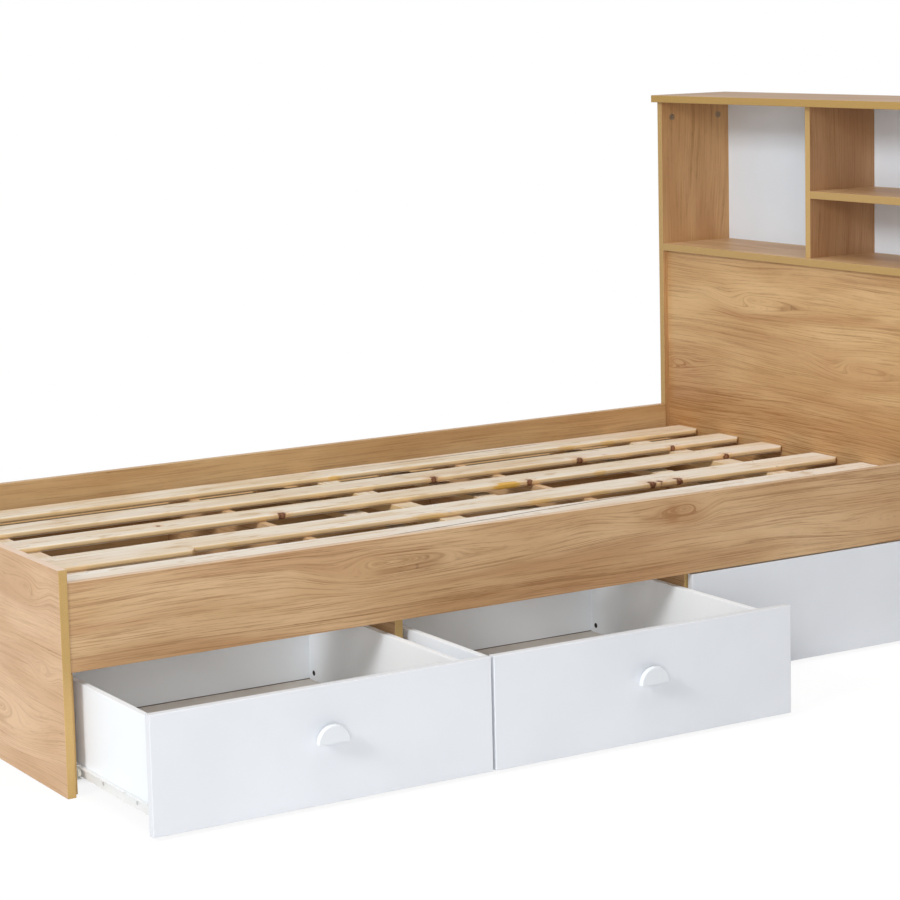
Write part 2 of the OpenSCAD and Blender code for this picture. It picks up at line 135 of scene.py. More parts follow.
# Eyes and shades in the boards' figure: place along and across the grain, size, taper back and ahead
FOOT_EYES = (
    (-0.337, 0.336, 0.050, 0.45, 0.25),
    (-0.400, 0.205, 0.035, 0.50, 0.50),
    (-0.200, 0.100, 0.085, 0.28, 0.28),
)
RAIL_EYES = (
    (0.600, 0.318, 0.060, 0.30, 0.09),
    (1.263, 0.336, 0.044, 0.18, 0.45),
    (1.800, 0.260, 0.045, 0.12, 0.35),
)
RAIL_SHADES = (
    (1.270, 0.336, 0.036, 0.22, 0.50),
    (1.235, 0.341, 0.014, 0.60, 0.60),
    (0.950, 0.232, 0.028, 0.06, 0.06),
    (2.200, 0.280, 0.200, 0.25, 0.25),
)
PANEL_EYES = (
    (0.150, 0.625, 0.055, 0.10, 0.30),
    (0.430, 0.462, 0.040, 0.25, 0.35),
    (-0.200, 0.510, 0.055, 0.13, 0.28),
)
PANEL_SHADES = (
    (0.460, 0.385, 0.050, 0.07, 0.07),
    (0.200, 0.600, 0.035, 0.10, 0.20),
    (0.400, 0.465, 0.060, 0.30, 0.30),
    (0.150, 0.325, 0.150, 0.10, 0.10),
)

# Oak looks: name, boards, directions along the grain, across it and through the board, and settings
OAK_LOOKS = (
    ("oak_footboard", ["footboard"], (Y, Z, X),
     dict(shift=(0.7, 0.1, 0.0), tone=(1.02, 1.03, 1.10), contrast=0.85, eyes=FOOT_EYES, pale=0.6)),
    ("oak_near_rail", ["near_rail"], (X, Z, Y),
     dict(shift=(0.0, -0.29, 0.0), tone=(0.95, 0.95, 0.935), flow=0.03, contrast=1.5, eyes=RAIL_EYES,
          shades=RAIL_SHADES, pale=0.4)),
    # The far side board's tone is darkened as painted shade for its shaded inner face
    ("oak_far_side", ["far_side_board"], (X, Z, Y),
     dict(shift=(0.9, 0.35, 0.5), tone=(0.86, 0.85, 0.76), flow=0.03)),
    ("oak_panel", ["headboard_panel"], (Y, Z, X),
     dict(shift=(0.0, -0.5, 0.3), tone=(0.91, 0.89, 0.775), flow=0.06, contrast=1.2, eyes=PANEL_EYES,
          shades=PANEL_SHADES)),
    # The bookcase's sides and upright have darker tones: painted shade for the shaded inside of the bookcase
    ("oak_sides", ["headboard_near_side", "headboard_far_side"], (Z, X, Y),
     dict(shift=(0.0, -2.0, 0.0), tone=(0.76, 0.665, 0.53), flow=0.10, contrast=0.9, band_tone=0.86)),
    ("oak_upright", ["bookcase_divider"], (Z, X, Y),
     dict(shift=(0.4, -2.0, 0.0), tone=(0.62, 0.53, 0.46), flow=0.10, contrast=0.9)),
    ("oak_top", ["headboard_top"], (Y, X, Z),
     dict(shift=(0.5, -2.0, 0.0), tone=(0.82, 0.84, 0.94), flow=0.04, contrast=0.7, pale=0.5,
          band_tone=0.88, sheen=0.0)),
    ("oak_shelves", ["shelf_board", "middle_shelf"], (Y, X, Z),
     dict(shift=(0.0, -2.0, 0.0), tone=(0.90, 0.88, 0.84), band_tone=0.88)),
    ("oak_dividers", ["bay_divider_1", "bay_divider_2", "packing_board"], (Y, Z, X),
     dict(shift=(0.0, -0.15, 0.6), tone=(1.0, 1.0, 1.0))),
)

# How pale each slat is, from the far side to the near side
PALENESS = (0.0, 0.05, 0.12, 0.22, 0.50, 0.40)

# How far the cleats and the front battens turn to a darker colour, a painted shade for their place under the
# slats
CLEAT_SHADE_TINT = 0.6

# How far over a slat's near edge a knot or a resin streak in it may be centred
OVERHANG = 0.002

# Knots in the slats: place and size
KNOTS = (
    ((1.126, 0.203, 0.310), 0.0085),
    ((1.491, 0.203, 0.310), 0.0080),
    ((1.737, 0.203, 0.311), 0.0070),
    ((0.688, 0.052, 0.311), 0.0090),
    ((1.262, 0.052, 0.311), 0.0075),
    ((1.765, 0.050, 0.307), 0.0080),
    ((1.440, -0.126, 0.315), 0.0105),
    ((1.462, -0.126, 0.316), 0.0070),
    ((1.506, -0.127, 0.315), 0.0100),
    ((0.404, -0.146, 0.306), 0.0050),
    ((0.873, -0.2756, 0.316), 0.0050),
    ((0.440, 0.085, 0.316), 0.0045),
)

# Yellow resin along the slats' edges: place, size and amount
RESINS = (
    ((0.975, 0.352, 0.308), 0.0050, 0.50),
    ((1.560, 0.352, 0.308), 0.0070, 0.35),
    ((1.670, 0.352, 0.308), 0.0060, 0.40),
    ((1.208, 0.052, 0.312), 0.0100, 0.85),
    ((1.437, 0.050, 0.312), 0.0050, 0.40),
    ((0.644, 0.050, 0.308), 0.0050, 0.20),
    ((0.912, -0.133, 0.312), 0.0100, 0.30),
    ((1.309, -0.133, 0.312), 0.0080, 0.25),
    ((1.166, -0.133, 0.312), 0.0080, 0.30),
    ((0.485, -0.133, 0.310), 0.0040, 0.20),
)

# Cracks in the slats: from, to, side where it starts, and how far it drifts sideways
CRACKS = ((0.70, 1.40, -0.272, 0.095), (1.10, 1.55, 0.396, 0.035))


def colour_prop(name, description, rgb):
    """A colour setting whose default is written as screen values."""
    return FloatVectorProperty(name=name, description=description, default=srgb(*rgb),
                               subtype="COLOR", size=3, min=0.0, max=1.0)


# Settings


class BedFinish(bpy.types.PropertyGroup):
    """Colours of the boards, the pine and the small parts."""

    oak: colour_prop("Oak", "Middle tone of the oak-look foil", (205, 166, 122))
    oak_light: colour_prop("Oak light", "Pale tone between the growth rings", (222, 187, 145))
    oak_dark: colour_prop("Oak dark", "Dark tone of the growth rings and fibres", (152, 108, 66))
    band: colour_prop("Edge band", "Yellowish band glued to the boards' edges", (194, 160, 101))
    pine: colour_prop("Pine", "Planed pine between the rings", (250, 239, 220))
    pine_dark: colour_prop("Pine ring", "Darker rings of the pine", (222, 188, 142))
    # The sides' warmer, darker colour is partly the sawn wood and partly painted shade
    pine_side_and_shade: colour_prop("Pine side", "Resinous, warmer sawn sides of the pine", (232, 198, 142))
    knot: colour_prop("Knot", "Heart of a pine knot", (98, 52, 40))
    white: colour_prop("White board", "White foil of the three fronts", (228, 231, 236))
    knob_white: colour_prop("White knob", "Smooth white of the knobs", (226, 230, 234))
    box: colour_prop("White box", "Cool white foil of the drawers' sides and backs", (245, 250, 255))
    back: colour_prop("White back", "Cool white hardboard behind the bookcase", (232, 243, 254))
    base: colour_prop("Drawer base", "Light hardboard of the drawer bases", (206, 199, 190))
    steel: colour_prop("Runner steel", "White powder coat of the runners", (236, 237, 236))
    nylon: colour_prop("Rollers", "Natural nylon of the rollers", (232, 231, 222))


class BedFixings(bpy.types.PropertyGroup):
    """Sizes of the nails and screws."""

    nail_head: FloatProperty(name="Nail head", description="Radius of a slat nail's head",
                             default=2.6 * MM, min=0.001, max=0.006, unit="LENGTH")
    nail_inset: FloatProperty(name="Nail inset", description="Distance from a slat's edge to its nails",
                              default=17 * MM, min=0.008, max=0.03, unit="LENGTH")
    screw_head: FloatProperty(name="Screw head", description="Radius of a runner screw's head",
                              default=3.4 * MM, min=0.002, max=0.006, unit="LENGTH")
    runner_screws: IntProperty(name="Runner screws", description="Screws in each length of a runner",
                               default=4, min=2, max=6)
    side_screw: FloatProperty(name="Side screw", description="Radius of the cups inside a drawer's sides",
                              default=5 * MM, min=0.002, max=0.008, unit="LENGTH")


class BedStage(bpy.types.PropertyGroup):
    """Light and background."""

    key: FloatProperty(name="Key light", description="Power of the far lamp beyond the footboard",
                       default=545.0, min=0.0)
    front: FloatProperty(name="Front light", description="Power of the low lamp at the front left",
                         default=78.0, min=0.0)
    top: FloatProperty(name="Top light", description="Power of the lamp over the bed",
                       default=94.0, min=0.0)
    back: FloatProperty(name="Back light", description="Power of the weak lamp behind the headboard",
                        default=70.0, min=0.0)
    sky: FloatProperty(name="Surround", description="Strength of the even light from all round",
                       default=0.20, min=0.0, max=2.0)


# Node helpers


class Graph:
    """A short way to build a node tree: each call adds a node and returns its socket."""

    def __init__(self, tree):
        self.tree = tree

    def node(self, kind, **settings):
        made = self.tree.nodes.new(kind)
        for key, value in settings.items():
            setattr(made, key, value)
        return made

    def put(self, socket, value):
        """Links a socket or sets a plain value."""
        if isinstance(value, bpy.types.NodeSocket):
            self.tree.links.new(value, socket)
        elif value is not None:
            socket.default_value = value

    def math(self, operation, *values):
        made = self.node("ShaderNodeMath", operation=operation)
        for socket, value in zip(made.inputs, values):
            self.put(socket, value)
        return made.outputs[0]

    def vector(self, operation, *values):
        made = self.node("ShaderNodeVectorMath", operation=operation)
        for socket, value in zip(made.inputs, values):
            self.put(socket, value)
        return made.outputs["Value" if operation in ("DOT_PRODUCT", "LENGTH") else "Vector"]

    def combine(self, x, y, z):
        made = self.node("ShaderNodeCombineXYZ")
        for socket, value in zip(made.inputs, (x, y, z)):
            self.put(socket, value)
        return made.outputs[0]

    def split(self, value):
        made = self.node("ShaderNodeSeparateXYZ")
        self.put(made.inputs[0], value)
        return made.outputs

    def noise(self, vector, scale=1.0, detail=2.0, roughness=0.5):
        made = self.node("ShaderNodeTexNoise", noise_dimensions="3D")
        self.put(made.inputs["Vector"], vector)
        made.inputs["Scale"].default_value = scale
        made.inputs["Detail"].default_value = detail
        made.inputs["Roughness"].default_value = roughness
        return made.outputs["Fac"]

    def step(self, value, low, high, out_low=0.0, out_high=1.0):
        """Eases from out_low to out_high while value goes from low to high."""
        made = self.node("ShaderNodeMapRange", interpolation_type="SMOOTHSTEP")
        for socket, given in zip(made.inputs, (value, low, high, out_low, out_high)):
            self.put(socket, given)
        return made.outputs[0]

    def mix(self, factor, a, b, blend="MIX"):
        made = self.node("ShaderNodeMix", data_type="RGBA", blend_type=blend)
        self.put(made.inputs["Factor"], factor)
        self.put(made.inputs["A"], a if not isinstance(a, tuple) else (*a, 1.0)[:4])
        self.put(made.inputs["B"], b if not isinstance(b, tuple) else (*b, 1.0)[:4])
        return made.outputs["Result"]

    def use(self, group, **values):
        """Places a node group and sets its inputs by name, with spaces written as underscores."""
        made = self.node("ShaderNodeGroup", node_tree=group)
        for key, value in values.items():
            self.put(made.inputs[key.replace("_", " ")], value)
        return made.outputs


def new_group(name, inputs, outputs):
    """An empty node group with named sockets; returns its graph, its inputs and its output node."""
    tree = bpy.data.node_groups.new(name, "ShaderNodeTree")
    for socket, (kind, default) in inputs.items():
        made = tree.interface.new_socket(name=socket, in_out="INPUT", socket_type="NodeSocket" + kind)
        if default is not None:
            made.default_value = default
    for socket, kind in outputs.items():
        tree.interface.new_socket(name=socket, in_out="OUTPUT", socket_type="NodeSocket" + kind)
    graph = Graph(tree)
    return graph, graph.node("NodeGroupInput").outputs, graph.node("NodeGroupOutput").inputs


# Effects shared by several materials


def build_figure_group():
    """Wood figure in a board's own directions: broken lines and fibres that follow a slow flow."""
    g, given, out = new_group(
        "Wood Figure",
        {"Vector": ("Vector", None), "Flow": ("Float", 0.05), "Ring Scale": ("Float", 150.0)},
        {"Rings": "Float", "Fibre": "Float", "Pores": "Float", "Cloud": "Float", "Bands": "Float"})
    u, v, w = g.split(given["Vector"])

    def stretched(along, across, field=v):
        return g.combine(g.math("MULTIPLY", u, along), g.math("MULTIPLY", field, across),
                         g.math("MULTIPLY", w, across))

    swirl = g.math("SUBTRACT", g.noise(stretched(1.7, 6.0), 1.0, 1.5, 0.4), 0.5)
    flow = g.math("ADD", v, g.math("MULTIPLY", swirl, given["Flow"]))
    ring_at = g.combine(g.math("MULTIPLY", u, 1.5), g.math("MULTIPLY", flow, given["Ring Scale"]), w)
    worn = g.step(g.noise(stretched(4.5, 26.0, flow), 1.0, 2.0, 0.6), 0.42, 0.62, 0.10, 1.0)
    g.put(out["Rings"], g.math("MULTIPLY", g.step(g.noise(ring_at, 1.0, 3.0, 0.62), 0.49, 0.66), worn))
    g.put(out["Fibre"], g.noise(stretched(6.5, 390.0, flow), 1.0, 3.0, 0.70))
    g.put(out["Pores"], g.step(g.noise(stretched(45.0, 850.0, flow), 1.0, 1.0), 0.58, 0.72))
    g.put(out["Cloud"], g.noise(stretched(3.0, 14.0), 1.0, 2.0))
    g.put(out["Bands"], g.step(g.noise(stretched(1.3, 19.0, flow), 1.0, 2.0), 0.42, 0.68))
    return g.tree


def build_eye_group():
    """An eye in the figure: round its centre the lines bend into ovals, tapered ahead and back."""
    g, given, out = new_group(
        "Figure Eye",
        {"Vector": ("Vector", None), "Centre": ("Vector", None), "Size": ("Float", 0.05),
         "Back": ("Float", 0.3), "Ahead": ("Float", 0.3)},
        {"Bend": "Float", "Near": "Float"})
    u, v = g.split(g.vector("SUBTRACT", given["Vector"], given["Centre"]))[:2]
    taper = g.step(u, -0.05, 0.05, given["Back"], given["Ahead"])
    oval = g.vector("LENGTH", g.combine(g.math("MULTIPLY", u, taper), v, 0.0))
    near = g.step(oval, 0.0, given["Size"], 1.0, 0.0)
    g.put(out["Bend"], g.math("MULTIPLY", near, g.math("SUBTRACT", oval, v)))
    g.put(out["Near"], near)
    return g.tree


def build_edge_group():
    """One on the narrow edges of a board, zero on its faces, from the normal along its thickness."""
    g, given, out = new_group("Board Edge", {"Normal": ("Vector", None), "Through": ("Vector", (0, 0, 1))},
                              {"Edge": "Float"})
    facing = g.math("ABSOLUTE", g.vector("DOT_PRODUCT", given["Normal"], given["Through"]))
    g.put(out["Edge"], g.step(facing, 0.45, 0.75, 1.0, 0.0))
    return g.tree


def build_grime_group():
    """Faint unevenness of a handled surface: a cloud for colour and a fine grain for roughness."""
    g, given, out = new_group("Handled Surface", {"Vector": ("Vector", None), "Scale": ("Float", 1.0)},
                              {"Cloud": "Float", "Speckle": "Float"})
    at = g.vector("SCALE", given["Vector"])
    g.put(at.node.inputs["Scale"], given["Scale"])
    g.put(out["Cloud"], g.noise(at, 5.0, 3.0, 0.5))
    g.put(out["Speckle"], g.noise(at, 420.0, 2.0, 0.6))
    return g.tree


def build_knot_group():
    """A knot: its heart, the core inside that, and the halo in which the growth rings turn aside."""
    g, given, out = new_group(
        "Pine Knot",
        {"Vector": ("Vector", None), "Centre": ("Vector", None), "Size": ("Float", 0.01)},
        {"Heart": "Float", "Core": "Float", "Halo": "Float"})
    off = g.vector("MULTIPLY", g.vector("SUBTRACT", given["Vector"], given["Centre"]), (1.0, 0.8, 0.5))
    away = g.math("DIVIDE", g.vector("LENGTH", off), given["Size"])
    rough = g.math("MULTIPLY", g.math("SUBTRACT", g.noise(given["Vector"], 160.0, 3.0), 0.5), 1.5)
    away = g.math("ADD", away, rough)
    g.put(out["Heart"], g.step(away, 0.6, 1.15, 1.0, 0.0))
    g.put(out["Core"], g.step(away, 0.15, 0.65, 1.0, 0.0))
    g.put(out["Halo"], g.step(away, 0.8, 3.6, 1.0, 0.0))
    return g.tree


def build_crack_group():
    """A drying crack along a slat: a thin wandering line between two places along the grain."""
    g, given, out = new_group(
        "Drying Crack",
        {"Vector": ("Vector", None), "From": ("Float", 0.0), "To": ("Float", 1.0), "Side": ("Float", 0.0),
         "Slope": ("Float", 0.0), "Half Width": ("Float", 0.0016)},
        {"Mask": "Float"})
    x, y = g.split(given["Vector"])[:2]
    wander = g.noise(g.combine(g.math("MULTIPLY", x, 3.0), 0.4, 0.7), 1.0, 3.0, 0.5)
    middle = g.math("ADD", given["Side"], g.math("MULTIPLY", g.math("SUBTRACT", wander, 0.5), 0.012))
    middle = g.math("ADD", middle, g.math("MULTIPLY", g.math("SUBTRACT", x, given["From"]), given["Slope"]))
    away = g.math("ABSOLUTE", g.math("SUBTRACT", y, middle))
    line = g.step(away, g.math("MULTIPLY", given["Half Width"], 0.5),
                  g.math("MULTIPLY", given["Half Width"], 2.0), 1.0, 0.0)
    start = g.step(x, given["From"], g.math("ADD", given["From"], 0.06))
    end = g.step(x, g.math("SUBTRACT", given["To"], 0.06), given["To"], 1.0, 0.0)
    g.put(out["Mask"], g.math("MULTIPLY", line, g.math("MULTIPLY", start, end)))
    return g.tree


def shared(name, build):
    """The shader group of that name, built on first use."""
    return bpy.data.node_groups.get(name) or build()


# Materials


def new_material(name, roughness, **plain):
    """An empty material with its Principled shader; plain values go on the shader's own sockets."""
    material = bpy.data.materials.new(name)
    material.use_nodes = True
    graph = Graph(material.node_tree)
    shader = material.node_tree.nodes["Principled BSDF"]
    shader.inputs["Roughness"].default_value = roughness
    for key, value in plain.items():
        shader.inputs[key.replace("_", " ")].default_value = value
    return material, graph, shader


def board_vector(g, along, across, through, shift=(0, 0, 0)):
    """Object coordinates turned so that x runs along the grain and z through the board."""
    at = g.node("ShaderNodeTexCoord").outputs["Object"]
    parts = [g.vector("DOT_PRODUCT", at, axis) for axis in (along, across, through)]
    return g.vector("ADD", g.combine(*parts), shift)


def use_eye(g, at, along, across, size, back, ahead):
    """The bend and the mask of a figure eye at a place on a board."""
    return g.use(shared("Figure Eye", build_eye_group), Vector=at, Centre=(along, across, 0.0), Size=size,
                 Back=back, Ahead=ahead)


def bump(g, shader, height, strength, distance):
    """Gives a shader the fine relief of a height mask."""
    made = g.node("ShaderNodeBump")
    made.inputs["Strength"].default_value = strength
    made.inputs["Distance"].default_value = distance
    g.put(made.inputs["Height"], height)
    g.put(shader.inputs["Normal"], made.outputs["Normal"])


def oak_material(name, along, across, through, shift, tone, flow=0.05, contrast=1.0, eyes=(), shades=(),
                 pale=0.0, band_tone=1.0, sheen=0.4):
    """Oak-look foil on a board's faces and upper edges, and a yellowish band on its other edges.

    Eyes and shades are (place along, place across, size, taper back, taper ahead), in metres. Pale is how
    far upward faces turn to a cream painted sheen, band_tone darkens the band, and sheen is how much it
    reflects.
    """
    finish = bpy.context.scene.bed_finish
    material, g, shader = new_material(name, 0.45, Specular_IOR_Level=sheen)
    at = board_vector(g, along, across, through)
    for spot in eyes:
        at = g.vector("ADD", at, g.combine(0.0, use_eye(g, at, *spot)["Bend"], 0.0))
    shade = 0.0
    for spot in shades:
        shade = g.math("ADD", use_eye(g, at, *spot)["Near"], shade)
    at = g.vector("ADD", at, shift)
    figure = g.use(shared("Wood Figure", build_figure_group), Vector=at, Flow=flow,
                   Ring_Scale=OAK_RINGS)
    normal = g.node("ShaderNodeTexCoord").outputs["Normal"]
    edge = g.use(shared("Board Edge", build_edge_group), Normal=normal, Through=through)["Edge"]
    top = g.step(g.split(normal)[2], 0.5, 0.8)
    edge = g.math("MULTIPLY", edge, g.math("SUBTRACT", 1.0, top))
    fibre = g.step(figure["Fibre"], 0.46, 0.70)
    colour = g.mix(g.step(figure["Cloud"], 0.32, 0.68), tuple(finish.oak), tuple(finish.oak_light))
    colour = g.mix(g.math("MULTIPLY", figure["Bands"], 0.30 * contrast), colour, OAK_STREAK)
    if shades:
        dense = g.math("MULTIPLY", shade, g.math("ADD", 0.38, g.math("MULTIPLY", fibre, 0.75)))
        colour = g.mix(g.math("MINIMUM", dense, 0.8), colour, OAK_SHADE)
    for lines in (figure["Rings"], fibre):
        colour = g.mix(g.math("MULTIPLY", lines, 0.42 * contrast), colour, tuple(finish.oak_dark))
    pores = g.math("MULTIPLY", figure["Pores"], g.math("ADD", 0.14, g.math("MULTIPLY", figure["Rings"], 0.4)))
    colour = g.mix(pores, colour, OAK_PORE)
    # Painted sheen: upward faces turn towards cream
    colour = g.mix(g.math("MULTIPLY", top, pale), colour, OAK_PAINTED_SHEEN)
    colour = g.mix(1.0, colour, tone, "MULTIPLY")
    speck = g.use(shared("Handled Surface", build_grime_group), Vector=at, Scale=1.0)["Speckle"]
    band = g.mix(g.step(speck, 0.3, 0.7, 0.0, 0.25), tuple(finish.band), BAND_SPECK)
    band = g.mix(1.0, band, (band_tone, band_tone, band_tone), "MULTIPLY")
    g.put(shader.inputs["Base Color"], g.mix(edge, colour, band))
    rough = g.math("ADD", g.math("MULTIPLY", figure["Fibre"], 0.16),
                   g.math("MULTIPLY", figure["Rings"], 0.06))
    g.put(shader.inputs["Roughness"], g.math("ADD", rough, 0.36))
    height = g.math("MULTIPLY", g.math("ADD", figure["Pores"], g.math("MULTIPLY", figure["Fibre"], 0.4)),
                    g.math("SUBTRACT", 1.0, edge))
    bump(g, shader, height, -0.15, 0.0004)
    return material


def pine_material(name, along, across, through, shift=(0, 0, 0), tint=None, knots=(), resins=(), cracks=(),
                  under=None):
    """Planed, uncoated pine without sheen, with sawn sides in a warmer colour that is partly painted shade,
    and a painted shade that darkens them towards a height under the piece.

    Tint is (amount, colour), a knot (place, size), a resin streak (place, size, amount) and a crack
    (from, to, side, slope).
    """
    finish = bpy.context.scene.bed_finish
    material, g, shader = new_material(name, 0.62, Specular_IOR_Level=0.0)
    at = board_vector(g, along, across, through, shift)
    place = g.node("ShaderNodeTexCoord").outputs["Object"]
    heart, core, halo, resin, crack = 0.0, 0.0, 0.0, 0.0, 0.0
    for centre, size in knots:
        knot = g.use(shared("Pine Knot", build_knot_group), Vector=place, Centre=centre, Size=size)
        heart = g.math("MAXIMUM", knot["Heart"], heart)
        core = g.math("MAXIMUM", knot["Core"], core)
        halo = g.math("MAXIMUM", knot["Halo"], halo)
    for centre, size, amount in resins:
        long = g.vector("MULTIPLY", g.vector("SUBTRACT", place, centre), (0.3, 1.0, 1.0))
        streak = g.use(shared("Pine Knot", build_knot_group), Vector=g.vector("ADD", long, centre),
                       Centre=centre, Size=size)
        resin = g.math("MAXIMUM", g.math("MULTIPLY", streak["Heart"], amount), resin)
    for start, end, side, slope in cracks:
        line = g.use(shared("Drying Crack", build_crack_group), Vector=place, From=start, To=end,
                     Side=side, Slope=slope)
        crack = g.math("MAXIMUM", line["Mask"], crack)
    bent = g.vector("ADD", at, g.combine(0.0, g.math("MULTIPLY", halo, KNOT_PUSH), 0.0))
    figure = g.use(shared("Wood Figure", build_figure_group), Vector=bent, Flow=0.015,
                   Ring_Scale=PINE_RINGS)
    normal = g.node("ShaderNodeTexCoord").outputs["Normal"]
    side = g.use(shared("Board Edge", build_edge_group), Normal=normal, Through=through)["Edge"]
    colour = g.mix(g.step(figure["Cloud"], 0.34, 0.62), PINE_CLOUD, tuple(finish.pine))
    colour = g.mix(g.math("MULTIPLY", figure["Bands"], 0.35), colour, PINE_PINK)
    if tint:
        colour = g.mix(tint[0], colour, tint[1])
    colour = g.mix(g.math("MULTIPLY", figure["Rings"], 0.7), colour, tuple(finish.pine_dark))
    colour = g.mix(g.math("MULTIPLY", g.step(figure["Fibre"], 0.46, 0.76), 0.5), colour, PINE_FIBRE)
    worn = g.use(shared("Handled Surface", build_grime_group),
                 Vector=g.vector("MULTIPLY", at, (0.35, 1.0, 1.0)), Scale=9.0)["Cloud"]
    colour = g.mix(g.step(worn, 0.56, 0.72, 0.0, 0.55), colour, PINE_WORN)
    colour = g.mix(1.0, colour, PINE_TONE, "MULTIPLY")
    # Sawn sides turn warmer and darker: partly the sawn wood's colour, partly painted shade
    sawn = g.math("MULTIPLY", side, g.step(figure["Fibre"], 0.3, 0.7, 0.95, 0.6))
    colour = g.mix(sawn, colour, tuple(finish.pine_side_and_shade))
    # Painted shade: the sides darken towards the slat's underside
    if under:
        painted_foot_shade = g.step(g.split(place)[2], under + 0.001, under + 0.007, 0.7, 0.0)
        colour = g.mix(g.math("MULTIPLY", side, painted_foot_shade), colour, PINE_PAINTED_SHADE)
    colour = g.mix(g.math("MULTIPLY", halo, 0.40), colour, KNOT_HALO)
    colour = g.mix(resin, colour, RESIN)
    bark = g.mix(g.math("MULTIPLY", core, 0.7), tuple(finish.knot), KNOT_CORE)
    colour = g.mix(g.math("MULTIPLY", heart, 0.92), colour, bark)
    colour = g.mix(g.math("MULTIPLY", crack, 0.8), colour, CRACK)
    g.put(shader.inputs["Base Color"], colour)
    g.put(shader.inputs["Roughness"], g.math("ADD", 0.5, g.math("MULTIPLY", figure["Fibre"], 0.25)))
    height = g.math("ADD", figure["Fibre"], g.math("MULTIPLY", figure["Rings"], 0.6))
    bump(g, shader, g.math("ADD", height, g.math("MULTIPLY", crack, 3.0)), -0.25, 0.0006)
    return material


def white_material(name, colour, roughness=0.36, shade=0.96, grain=0.12, joint=None):
    """White foil or paint with a faint cloud, a fine orange peel, and the painted shadow of an open joint
    below a height.
    """
    material, g, shader = new_material(name, roughness)
    at = g.node("ShaderNodeTexCoord").outputs["Object"]
    surface = g.use(shared("Handled Surface", build_grime_group), Vector=at, Scale=1.0)
    dim = tuple(c * shade for c in colour)
    tint = g.mix(g.step(surface["Cloud"], 0.35, 0.75), tuple(colour), dim)
    # Painted shadow of the open joint: dark below the given height
    if joint:
        line = g.step(g.split(at)[2], joint - 0.0004, joint + 0.0004, 1.0, 0.0)
        tint = g.mix(line, tint, JOINT_PAINTED_SHADE)
    g.put(shader.inputs["Base Color"], tint)
    g.put(shader.inputs["Roughness"],
          g.math("ADD", roughness - 0.06, g.math("MULTIPLY", surface["Speckle"], 0.14)))
    bump(g, shader, surface["Speckle"], grain, 0.0002)
    return material


def metal_material(name, colour, roughness):
    """Zinc-plated steel with fine scratches in its gloss."""
    material, g, shader = new_material(name, roughness, Metallic=1.0)
    at = g.node("ShaderNodeTexCoord").outputs["Object"]
    surface = g.use(shared("Handled Surface", build_grime_group), Vector=at, Scale=3.0)
    g.put(shader.inputs["Base Color"], g.mix(surface["Cloud"], colour, tuple(0.75 * c for c in colour)))
    g.put(shader.inputs["Roughness"], g.math("ADD", roughness, g.math("MULTIPLY", surface["Speckle"], 0.2)))
    bump(g, shader, surface["Speckle"], 0.2, 0.0002)
    return material


def dress(material, *nodes):
    """Gives CAD nodes a material."""
    for name in nodes:
        slots = NODES[name].data.materials
        if len(slots) == 0:
            slots.append(material)
        for index in range(len(slots)):
            slots[index] = material


# Mesh helpers


def add_piece(name, mesh, material, body):
    """Places a mesh as a piece that moves with a body."""
    piece = bpy.data.objects.new(name, mesh)
    mesh.materials.append(material)
    bpy.context.scene.collection.objects.link(piece)
    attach(piece, body)
    return piece


def flush_head(r):
    """Profile of a flat screw head with a small drive, sunk a little at its foot."""
    return [(0, -0.0003), (r, -0.0003), (r, 0.0), (0.86 * r, 0.00012), (0.4 * r, 0.00012),
            (0.3 * r, 0.00002), (0, 0.00002)]


def screw_cup(r):
    """Profile of a shallow cup with a raised rim."""
    return [(0, -0.0003), (r, -0.0003), (r, 0.0002), (0.8 * r, 0.0004), (0.66 * r, 0.0001), (0, 0.0001)]


def nail_head(r):
    """Profile of a nail head that stands a little out of the wood."""
    return [(0, -0.0005), (r, -0.0005), (r, 0.0001), (0.7 * r, 0.0004), (0, 0.0005)]


def lathe(bm, profile, place, axis, segments):
    """Turns a profile of (radius, height) about an axis through place, closed at both ends."""
    turn = Vector((0, 0, 1)).rotation_difference(Vector(axis)).to_matrix().to_4x4()
    stand = Matrix.Translation(place) @ turn
    rings = []
    for radius, height in profile:
        if radius == 0:
            rings.append([bm.verts.new(stand @ Vector((0, 0, height)))])
        else:
            angles = [2 * math.pi * i / segments for i in range(segments)]
            rings.append([bm.verts.new(stand @ Vector((radius * math.cos(a), radius * math.sin(a), height)))
                          for a in angles])
    for low, high in zip(rings, rings[1:]):
        for i in range(segments):
            j = (i + 1) % segments
            corners = [low[i % len(low)], low[j % len(low)], high[j % len(high)], high[i % len(high)]]
            bm.faces.new(list(dict.fromkeys(corners)))


def finish_mesh(bm, name):
    """Turns a working mesh into a mesh with smooth faces and sharp edges."""
    mesh = bpy.data.meshes.new(name)
    bmesh.ops.recalc_face_normals(bm, faces=bm.faces)
    bm.to_mesh(mesh)
    bm.free()
    mesh.polygons.foreach_set("use_smooth", [True] * len(mesh.polygons))
    mesh.set_sharp_from_angle(angle=SMOOTH_ANGLE)
    return mesh


# Operators, one for each piece or group of like pieces


class BED_OT_boards(bpy.types.Operator):
    """Gives the end boards, rails, dividers and headboard their oak-look foil"""

    bl_idname = "bed.boards"
    bl_label = "Oak Boards"

    def execute(self, context):
        for name, boards, directions, settings in OAK_LOOKS:
            dress(oak_material(name, *directions, **settings), *boards)
        return {"FINISHED"}


